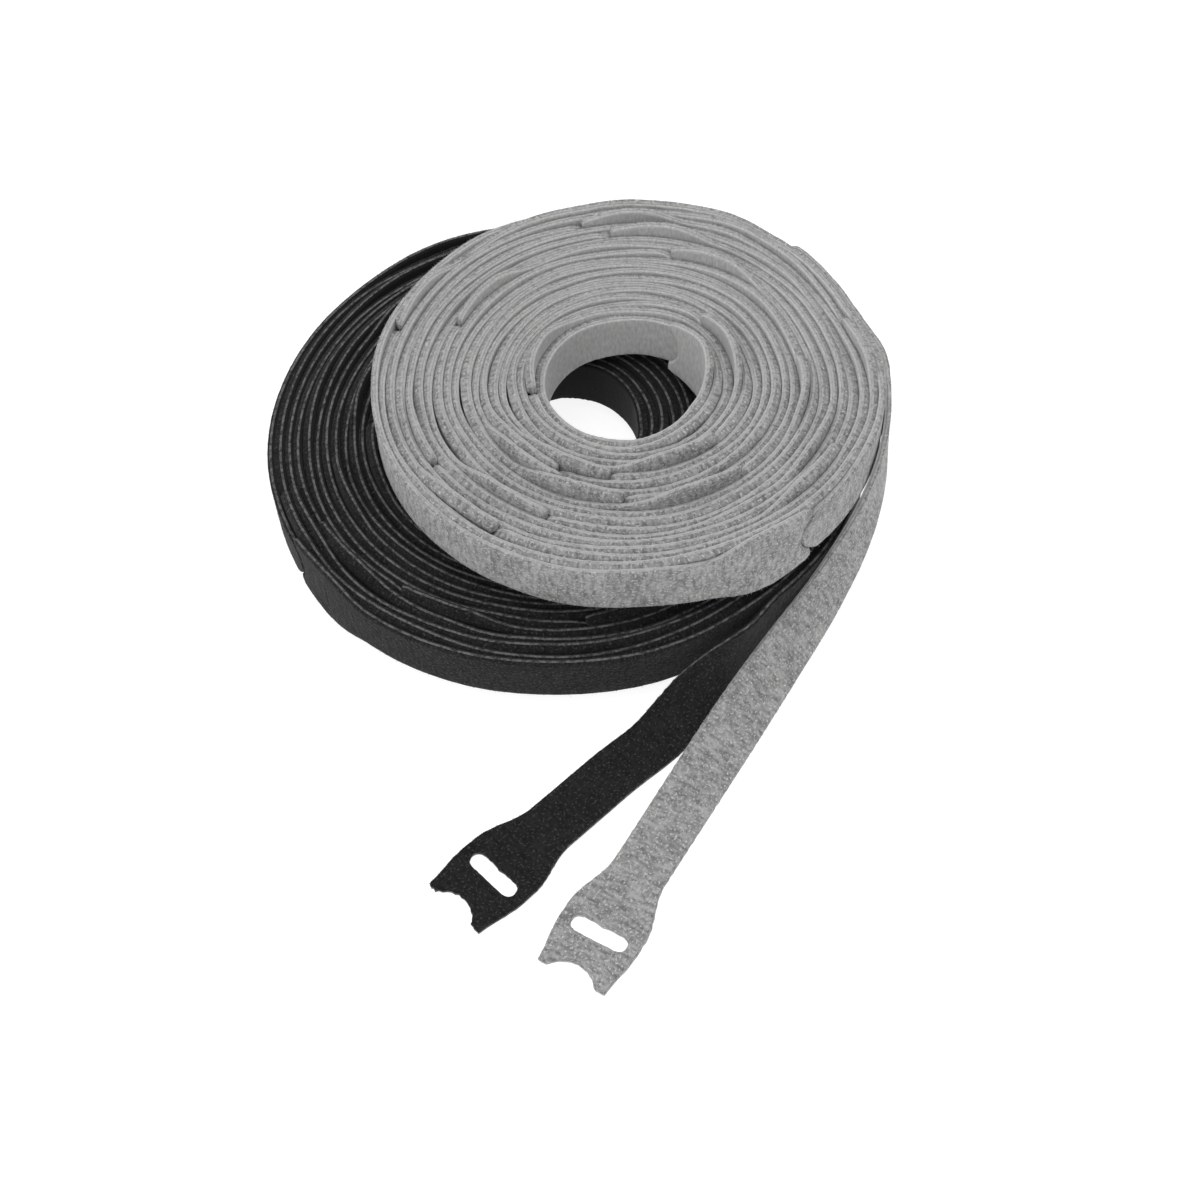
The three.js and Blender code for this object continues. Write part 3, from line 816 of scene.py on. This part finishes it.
def make_piece(name, whole, material):
    """A mesh object at the origin, with its flat pattern as UV map in centimetres and three masks."""
    mesh = bpy.data.meshes.new(name)
    corners = np.concatenate([whole["quads"].ravel(), whole["tris"].ravel()]).astype(np.int32)
    quads, tris = len(whole["quads"]), len(whole["tris"])
    starts = np.concatenate([4 * np.arange(quads), 4 * quads + 3 * np.arange(tris)]).astype(np.int32)
    mesh.vertices.add(len(whole["points"]))
    mesh.vertices.foreach_set("co", whole["points"].astype(np.float32).ravel())
    mesh.loops.add(len(corners))
    mesh.loops.foreach_set("vertex_index", corners)
    mesh.polygons.add(quads + tris)
    mesh.polygons.foreach_set("loop_start", starts)
    mesh.polygons.foreach_set("use_smooth", np.ones(quads + tris, bool))
    uv = mesh.uv_layers.new(name="tape")
    uv.data.foreach_set("uv", (whole["flat"][corners] / UV_UNIT).astype(np.float32).ravel())
    for mask in MASKS:
        values = mesh.attributes.new(mask, "FLOAT", "POINT")
        values.data.foreach_set("value", whole[mask].astype(np.float32))
    mesh.update(calc_edges=True)
    mesh.validate()
    mesh.materials.append(material)
    return add_object(name, mesh)


# %% [markdown]
# ## The tape's finish
# Both colours share one knit: fine ribs across the tape, uneven loops between them, and stray bright
# fibres. The hook side and the cut web have finishes of their own. On the grey tape the hook tone is
# partly painted light, lifting the shade inside the hole, and on both tapes the pale web tone is partly
# painted highlight along the cut edges. The pattern has to follow the tape round the roll, so it reads
# the flat pattern kept in the UV map. One node group makes it, and each colour gives it its own tones.

# %% Small helpers for node trees
def set_inputs(node, values):
    """Each named input of a node gets its value."""
    for name, value in values.items():
        node.inputs[name].default_value = value


class Nodes:
    """Adds nodes to a tree and links them in one call each. An input is named, or numbered as _0."""

    def __init__(self, tree):
        self.tree = tree

    def add(self, kind, settings=None, **inputs):
        node = self.tree.nodes.new(kind)
        for name, value in (settings or {}).items():
            setattr(node, name, value)
        for name, value in inputs.items():
            socket = node.inputs[int(name[1:]) if name[1:].isdigit() else name]
            if isinstance(value, bpy.types.NodeSocket):
                self.tree.links.new(value, socket)
            else:
                socket.default_value = value
        return node

    def math(self, operation, a, b=0.0, clamp=False):
        node = self.add("ShaderNodeMath", {"operation": operation, "use_clamp": clamp}, _0=a, _1=b)
        return node.outputs[0]

    def mix(self, share, a, b):
        node = self.add("ShaderNodeMix", {"data_type": "RGBA"}, _0=share, _6=a, _7=b)
        return node.outputs[2]

    def noise(self, place, scale, detail, rough):
        node = self.add("ShaderNodeTexNoise", Vector=place, Scale=scale, Detail=detail, Roughness=rough)
        return node.outputs[0]

    def remap(self, value, low, high, to_low=0.0, to_high=1.0):
        node = self.add("ShaderNodeMapRange", {"clamp": True}, _0=value, _1=low, _2=high, _3=to_low,
                        _4=to_high)
        return node.outputs[0]


# %% The node group for knitted pile, moulded hooks and the cut web
def tape_group():
    """Inputs are the five tones. Outputs are colour, roughness and height. The pattern is noise on the
    flat tape, stretched into ribs, plus finer noise for the loops, remapped to a share between two tones."""
    group = bpy.data.node_groups.new("back_to_back_tape", "ShaderNodeTree")
    for name in ("Pile", "Pile Shade", "Fibre", "Hook", "Web And Painted Highlight"):
        group.interface.new_socket(name, in_out="INPUT", socket_type="NodeSocketColor")
    for name in ("Colour", "Roughness", "Height"):
        kind = "NodeSocketColor" if name == "Colour" else "NodeSocketFloat"
        group.interface.new_socket(name, in_out="OUTPUT", socket_type=kind)
    n = Nodes(group)
    given = n.add("NodeGroupInput").outputs
    place = n.add("ShaderNodeUVMap", {"uv_map": "tape"}).outputs[0]
    web, hooks, hair = (n.add("ShaderNodeAttribute", {"attribute_name": mask}).outputs["Fac"]
                        for mask in MASKS)

    # Ribs across the tape, about 1 mm apart, broken up by loops
    stretched = n.add("ShaderNodeMapping", _0=place, _3=(9.0, 3.2, 1.0)).outputs[0]
    ribs = n.noise(stretched, 1.0, 1.0, 0.5)
    loops = n.noise(place, 13.0, 2.0, 0.7)
    blotches = n.noise(place, 1.3, 2.0, 0.5)
    knit = n.math("ADD", n.math("MULTIPLY", ribs, 0.5), n.math("MULTIPLY", loops, 0.5))
    uneven = n.math("MULTIPLY", n.math("SUBTRACT", blotches, 0.5), 0.25)
    tone = n.remap(n.math("ADD", knit, uneven), 0.38, 0.62)
    pile = n.mix(tone, given["Pile Shade"], given["Pile"])
    stray = n.noise(place, 17.0, 1.0, 0.5)
    pile = n.mix(n.remap(stray, 0.58, 0.7), pile, given["Fibre"])

    # Hooks stand in rows along the tape. The hook tone is partly painted light: the grey one is set above
    # the grey pile to lift the shade on the wall inside the roll's hole.
    fine = n.add("ShaderNodeMapping", _0=place, _3=(16.0, 5.0, 1.0)).outputs[0]
    rows = n.noise(fine, 1.0, 1.0, 0.5)
    hook_shade = n.mix(n.remap(rows, 0.3, 0.7, 0.0, 0.35), given["Hook"], given["Pile Shade"])

    # The web's pale tone is partly painted highlight, the light line along each turn's cut edge
    frayed = n.noise(place, 8.0, 3.0, 0.7)
    web_share = n.math("MULTIPLY", web, n.remap(frayed, 0.4, 0.58, 0.15, 1.0), True)
    colour = n.mix(hooks, pile, hook_shade)
    colour = n.mix(web_share, colour, given["Web And Painted Highlight"])
    colour = n.mix(n.math("MULTIPLY", hair, 0.5), colour, given["Fibre"])
    height = n.math("MULTIPLY", knit, n.math("SUBTRACT", 1.0, n.math("MULTIPLY", hooks, 0.7)))
    rough = n.math("SUBTRACT", 0.95, n.math("MULTIPLY", web, 0.3))
    n.add("NodeGroupOutput", Colour=colour, Roughness=rough, Height=height)
    return group


TAPE_GROUP = tape_group()
print("node group", TAPE_GROUP.name, "with", len(TAPE_GROUP.nodes), "nodes")


# %% The two colours of tape
def grey_tone(value):
    """A neutral colour, given as it looks on a screen from 0 to 255, in linear light."""
    share = value / 255
    linear = share / 12.92 if share <= 0.04045 else ((share + 0.055) / 1.055) ** 2.4
    return (linear, linear, linear * 0.99, 1.0)


def tape_material(name, tones, bump, sheen):
    """The shared group feeds colour, roughness and bump. A little light passes through the fibres, so the
    shader has some subsurface. Sheen stays a plain value on the shader."""
    material = bpy.data.materials.new(name)
    material.use_nodes = True
    tree = material.node_tree
    tree.nodes.clear()
    n = Nodes(tree)
    tape = n.add("ShaderNodeGroup", {"node_tree": TAPE_GROUP})
    set_inputs(tape, {socket: grey_tone(value) for socket, value in tones.items()})
    normal = n.add("ShaderNodeBump", Strength=bump, Distance=MM, Height=tape.outputs["Height"])
    cloth = n.add("ShaderNodeBsdfPrincipled", _0=tape.outputs["Colour"], Roughness=tape.outputs["Roughness"],
                  Normal=normal.outputs[0])
    set_inputs(cloth, {"Specular IOR Level": 0.25, "Subsurface Weight": 0.5,
                       "Subsurface Radius": (1.0, 1.0, 1.0), "Subsurface Scale": 0.6 * MM,
                       "Sheen Weight": sheen, "Sheen Roughness": 0.5})
    n.add("ShaderNodeOutputMaterial", Surface=cloth.outputs[0])
    return material


# Both web tones are pale partly as painted highlight along the turns' cut edges
MATERIALS = {
    # The grey hook tone is partly painted light, lighter than the grey pile to lift the shade inside the
    # hole
    "grey": tape_material("light_grey_tape", {"Pile": 170, "Pile Shade": 116, "Fibre": 196, "Hook": 197,
                                              "Web And Painted Highlight": 176}, 0.8, 0.12),
    "black": tape_material("black_tape", {"Pile": 33, "Pile Shade": 14, "Fibre": 60, "Hook": 28,
                                          "Web And Painted Highlight": 106}, 0.8, 0.04),
}
print("materials", [m.name for m in MATERIALS.values()])

# %% [markdown]
# ## Every tie of both rolls
# Each tie replaces the solid of the same name and rides on that solid's body. One mesh for a whole roll
# would be simpler, but then no tie could be peeled or torn off. Only the free ends and the outermost
# turns show their faces, so they get a finer grid and fibres all over. The others get fibres along their
# edges.

# %% Build the ties
SHOWN_TIES = 4  # the outermost ones, the free tie included
INNER = tie_grid("none", 1, 0.9 * MM)
OUTER = tie_grid("cut", 1, 0.7 * MM)
FREE = tie_grid("open", 2, 0.7 * MM)

# How uneven the cut and torn edges are. The black free tie is torn more roughly than the grey one.
CUT_WAVER = 0.07 * MM
TORN_WAVER = 0.05 * MM
FREE_CUT_WAVER = 2 * CUT_WAVER
FREE_TORN_WAVER = {"black": 0.5 * MM, "grey": 0.2 * MM}
WORN_SHARE = 0.09

# Fibres: how many on a square mm of face, on a mm of edge or at a torn end, the longest, and their
# thickness. For the edges, also the share of them on the upper edge.
FREE_FACE = (2.5, 0.5 * MM, 0.04 * MM)
SHOWN_FACE = (1.5, 0.5 * MM, 0.04 * MM)
SHOWN_EDGE = (11.0, 0.8 * MM, 0.05 * MM, 0.55)
HIDDEN_EDGE = (7.0, 0.6 * MM, 0.05 * MM, 0.95)
FREE_THREADS = (60, 1.3 * MM, 0.05 * MM)
THREADS = (60, 0.8 * MM, 0.05 * MM)


def tie_body(colour, number):
    """The free tie is a body of its own, and all others belong to the roll."""
    return f"{colour}_free_tie" if number == 1 else f"{colour}_roll"


def tie_surface(colour, number):
    """The laminated tape and its fibres, joined. Only the core's end and the outermost ties get the finer
    grid, and of those only the outermost get fibres all over."""
    roll, path = ROLLS[colour], PATHS[colour]
    lips = lips_place(roll, number)
    direction = -1 if number > 1 and roll["lips_in"] else 1
    where = (path, lips, direction)
    seed = roll["seed"] * 1000 + number
    free_end, shows = number == 1, number <= SHOWN_TIES
    if free_end:
        parts = [laminate(*where, FREE, seed, FREE_CUT_WAVER, FREE_TORN_WAVER[colour], 0.0)]
    else:
        grid = OUTER if shows or number == roll["ties"] else INNER
        parts = [laminate(*where, grid, seed, CUT_WAVER, TORN_WAVER, WORN_SHARE)]
    if shows:
        parts.append(face_fibres(*where, seed, *(FREE_FACE if free_end else SHOWN_FACE)))
    parts.append(edge_fibres(*where, seed + 500, *(SHOWN_EDGE if shows else HIDDEN_EDGE)))
    parts.append(torn_fibres(*where, seed + 700, *(FREE_THREADS if free_end else THREADS)))
    return join(parts)


total_faces = 0
for colour, roll in ROLLS.items():
    for number in range(1, roll["ties"] + 1):
        name = f"{colour}_tie_{number:02d}"
        whole = tie_surface(colour, number)
        piece = make_piece(f"{name}_tape", whole, MATERIALS[colour])
        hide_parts(name)
        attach(piece, tie_body(colour, number))
        total_faces += 2 * len(whole["quads"]) + len(whole["tris"])
print("ties hold", total_faces, "triangles")

# %% [markdown]
# ## Floor, light and camera
# The photograph shows the rolls on a plain white ground in even light. An ordinary white floor turns grey
# in their shadow, and has to be overexposed to look white, which throws too much light on their walls.
# This one is darker and glows evenly instead. A bright sky and a wide lamp overhead light the turns from
# above, and a lamp at the front left gives them their shape. The camera stands where a fit to both
# rolls, their holes and their free ends puts it.

# %% Floor
FLOOR_REACH = 3000 * MM
FLOOR_LEVEL = -0.2 * MM
floor_corners = [(x * FLOOR_REACH, y * FLOOR_REACH, FLOOR_LEVEL)
                 for x, y in ((-1, -1), (1, -1), (1, 1), (-1, 1))]
floor_mesh = bpy.data.meshes.new("floor")
floor_mesh.from_pydata(floor_corners, [], [(0, 1, 2, 3)])
floor = add_object("floor", floor_mesh)
floor_material = bpy.data.materials.new("pale_floor")
floor_material.use_nodes = True
set_inputs(floor_material.node_tree.nodes["Principled BSDF"],
           {"Base Color": (0.3, 0.3, 0.3, 1), "Roughness": 0.9, "Emission Color": (1, 1, 1, 1),
            "Emission Strength": 0.88})
floor_mesh.materials.append(floor_material)

# %% Light
scene = bpy.context.scene
scene.view_settings.view_transform = "Standard"
world = bpy.data.worlds.new("soft_sky")
world.use_nodes = True
set_inputs(world.node_tree.nodes["Background"], {"Color": (1, 1, 1, 1), "Strength": 0.6})
scene.world = world


def soft_lamp(name, place, target, size, power):
    """A square area lamp that faces its target."""
    data = bpy.data.lights.new(name, "AREA")
    data.size = size
    data.energy = power
    lamp = add_object(name, data)
    lamp.location = place
    lamp.rotation_euler = (Vector(target) - Vector(place)).to_track_quat("-Z", "Y").to_euler()


ROLLS_MIDDLE = (0.0, 30 * MM, 20 * MM)
soft_lamp("overhead_lamp", (0.0, 0.1, 1.2), ROLLS_MIDDLE, 1.0, 6.5)
soft_lamp("front_left_lamp", (-0.5, -0.7, 0.8), ROLLS_MIDDLE, 0.6, 2.6)

# %% Camera
CAMERA_PLACE = (4.088722 * MM, -273.936996 * MM, 357.0 * MM)
CAMERA_DOWN = math.radians(53.2)
CAMERA_ROLL = math.radians(-2.6)
FOCAL_PIXELS = 1860  # the fitted focal length, in the photograph's pixels
PHOTO_PIXELS = 1200
camera_data = bpy.data.cameras.new("photo_camera")
camera_data.sensor_width = 36
camera_data.lens = FOCAL_PIXELS / PHOTO_PIXELS * camera_data.sensor_width
camera = add_object("photo_camera", camera_data)
camera.matrix_world = (Matrix.Translation(CAMERA_PLACE)
                       @ Matrix.Rotation(math.pi / 2 - CAMERA_DOWN, 4, "X")
                       @ Matrix.Rotation(CAMERA_ROLL, 4, "Z"))
scene.camera = camera
print("camera lens", round(camera_data.lens, 1), "mm")
